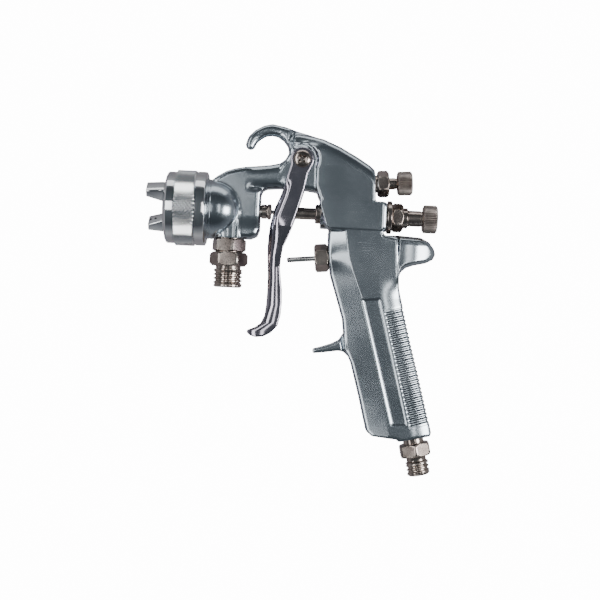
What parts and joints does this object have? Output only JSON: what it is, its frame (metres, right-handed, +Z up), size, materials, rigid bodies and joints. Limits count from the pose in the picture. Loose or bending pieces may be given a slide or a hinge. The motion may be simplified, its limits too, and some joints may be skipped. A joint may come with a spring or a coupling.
{
  "type": "pressure-feed spray gun",
  "caption": "Pistol-shaped air spray gun with hanging hook, air cap and ring, trigger, two control knobs and threaded air and fluid inlets.",
  "frame": {"origin": "the inside crown of the hanging hook, on the gun's middle plane", "axes": "+Z up, -X along the spray, towards the air cap, Y across the gun"},
  "size_m": [0.1711, 0.044, 0.2009],
  "materials": {
    "cast_aluminium": "polished and lightly satin cast aluminium, blue-grey",
    "chrome": "bright chrome plate",
    "trigger_chrome": "polished dark chrome plate",
    "warm_nickel": "warm grey-brown nickel plate on brass",
    "stainless_steel": "turned stainless steel",
    "white_seal": "white fluoropolymer seal"
  },
  "bodies": {
    "gun": {"gun_body": "cast_aluminium", "packing_nut": "warm_nickel", "needle_guide_bush": "warm_nickel", "fluid_control_housing": "warm_nickel", "fan_valve_housing": "warm_nickel", "air_valve_body": "warm_nickel", "trigger_stud": "warm_nickel", "trigger_screw": "warm_nickel", "fluid_inlet_locknut": "warm_nickel", "fluid_inlet_nipple": "warm_nickel", "air_inlet_nipple": "warm_nickel", "fluid_nozzle": "stainless_steel", "air_baffle": "stainless_steel", "needle_spring": "stainless_steel", "air_valve_spring": "stainless_steel", "nozzle_seal": "white_seal", "needle_packing": "white_seal", "fan_valve_seal": "white_seal", "air_valve_packing": "white_seal", "air_valve_seat": "white_seal", "fluid_inlet_seal": "white_seal", "air_inlet_seal": "white_seal"},
    "trigger": {"trigger": "trigger_chrome"},
    "needle": {"fluid_needle": "stainless_steel", "needle_sleeve": "warm_nickel", "needle_lock_nut": "stainless_steel"},
    "air_valve": {"air_valve_stem": "stainless_steel", "air_valve_poppet": "white_seal"},
    "fluid_screw": {"fluid_screw": "warm_nickel"},
    "fluid_knob": {"fluid_knob": "warm_nickel"},
    "fan_stem": {"fan_stem": "warm_nickel"},
    "fan_knob": {"fan_knob": "warm_nickel"},
    "cap_carrier": {"ring_clip": "stainless_steel"},
    "retaining_ring": {"retaining_ring": "chrome"},
    "air_cap": {"air_cap": "chrome"}
  },
  "joints": [
    {"name": "trigger_pull", "type": "hinge", "parent": "gun", "child": "trigger", "pos_m": [0.0181, 0, -0.0135], "axis": [0, -1, 0], "range_deg": [0, 10], "stiffness_Nm_per_rad": 3, "springref_deg": -3.44},
    {"name": "needle_draw", "type": "slide", "parent": "gun", "child": "needle", "axis": [1, 0, 0], "range_m": [0, 0.0055], "deforming": ["needle_spring"]},
    {"name": "air_valve_lift", "type": "slide", "parent": "gun", "child": "air_valve", "axis": [0.9945, 0, 0.1045], "range_m": [0, 0.0062], "deforming": ["air_valve_spring"]},
    {"name": "fluid_screw_travel", "type": "slide", "parent": "gun", "child": "fluid_screw", "axis": [1, 0, 0], "range_m": [-0.003, 0.004]},
    {"name": "fluid_knob_turn", "type": "hinge", "parent": "fluid_screw", "child": "fluid_knob", "pos_m": [0.0895, 0, -0.044], "axis": [1, 0, 0], "range_deg": [-1100, 1460]},
    {"name": "fan_stem_travel", "type": "slide", "parent": "gun", "child": "fan_stem", "axis": [0.9976, 0, 0.0698], "range_m": [-0.002, 0.003]},
    {"name": "fan_knob_turn", "type": "hinge", "parent": "fan_stem", "child": "fan_knob", "pos_m": [0.07387, 0, -0.0241], "axis": [0.9976, 0, 0.0698], "range_deg": [-740, 1100]},
    {"name": "ring_travel", "type": "slide", "parent": "gun", "child": "cap_carrier", "axis": [-1, 0, 0], "range_m": [0, 0.006]},
    {"name": "ring_turn", "type": "hinge", "parent": "cap_carrier", "child": "retaining_ring", "pos_m": [-0.05, 0, -0.044], "axis": [-1, 0, 0], "range_deg": [-20, 1460]},
    {"name": "air_cap_turn", "type": "hinge", "parent": "cap_carrier", "child": "air_cap", "pos_m": [-0.06, 0, -0.044], "axis": [-1, 0, 0], "continuous": true}
  ],
  "couplings": [
    {"joint": "needle_draw", "follows": "trigger_pull", "m_per_rad": 0.0305},
    {"joint": "air_valve_lift", "follows": "trigger_pull", "m_per_rad": 0.0346},
    {"joint": "fluid_knob_turn", "follows": "fluid_screw_travel", "rad_per_m": 6283.2},
    {"joint": "fan_knob_turn", "follows": "fan_stem_travel", "rad_per_m": 6283.2},
    {"joint": "ring_turn", "follows": "ring_travel", "rad_per_m": 4188.8}
  ]
}
